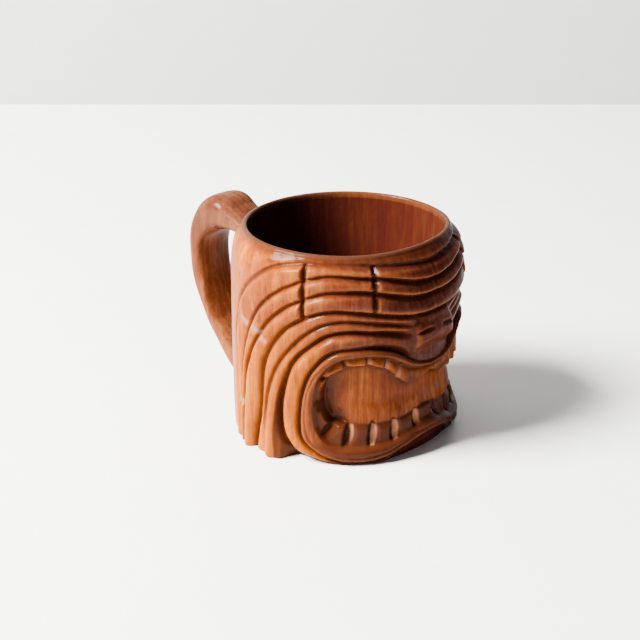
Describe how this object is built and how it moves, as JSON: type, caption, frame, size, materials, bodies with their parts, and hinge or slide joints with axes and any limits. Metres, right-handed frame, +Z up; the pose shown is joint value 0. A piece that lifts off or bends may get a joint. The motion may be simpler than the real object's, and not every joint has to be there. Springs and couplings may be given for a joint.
{
  "type": "carved wooden mug",
  "caption": "Carved wooden tiki mug: a bored cup with a banded brow, draped cheeks, nose and toothed wide mouth, a glued-in bottom and a doweled handle.",
  "frame": {"origin": "centre of the base on the cup's axis, in the plane that the mug stands on", "axes": "+Z up along the cup's axis, -Y towards the carved face, +Y towards the handle"},
  "size_m": [0.115, 0.1548, 0.1],
  "materials": {
    "carved_wood": "lacquered orange-brown hardwood, upright grain",
    "base_wood": "lacquered red-brown hardwood",
    "handle_wood": "lacquered orange-brown hardwood, worn smooth",
    "dowel_wood": "plain unfinished hardwood dowel"
  },
  "bodies": {
    "root": {"cup_body": "carved_wood", "base_disc": "base_wood", "handle": "handle_wood", "upper_dowel_left": "dowel_wood", "upper_dowel_right": "dowel_wood", "lower_dowel_left": "dowel_wood", "lower_dowel_right": "dowel_wood"}
  },
  "joints": []
}
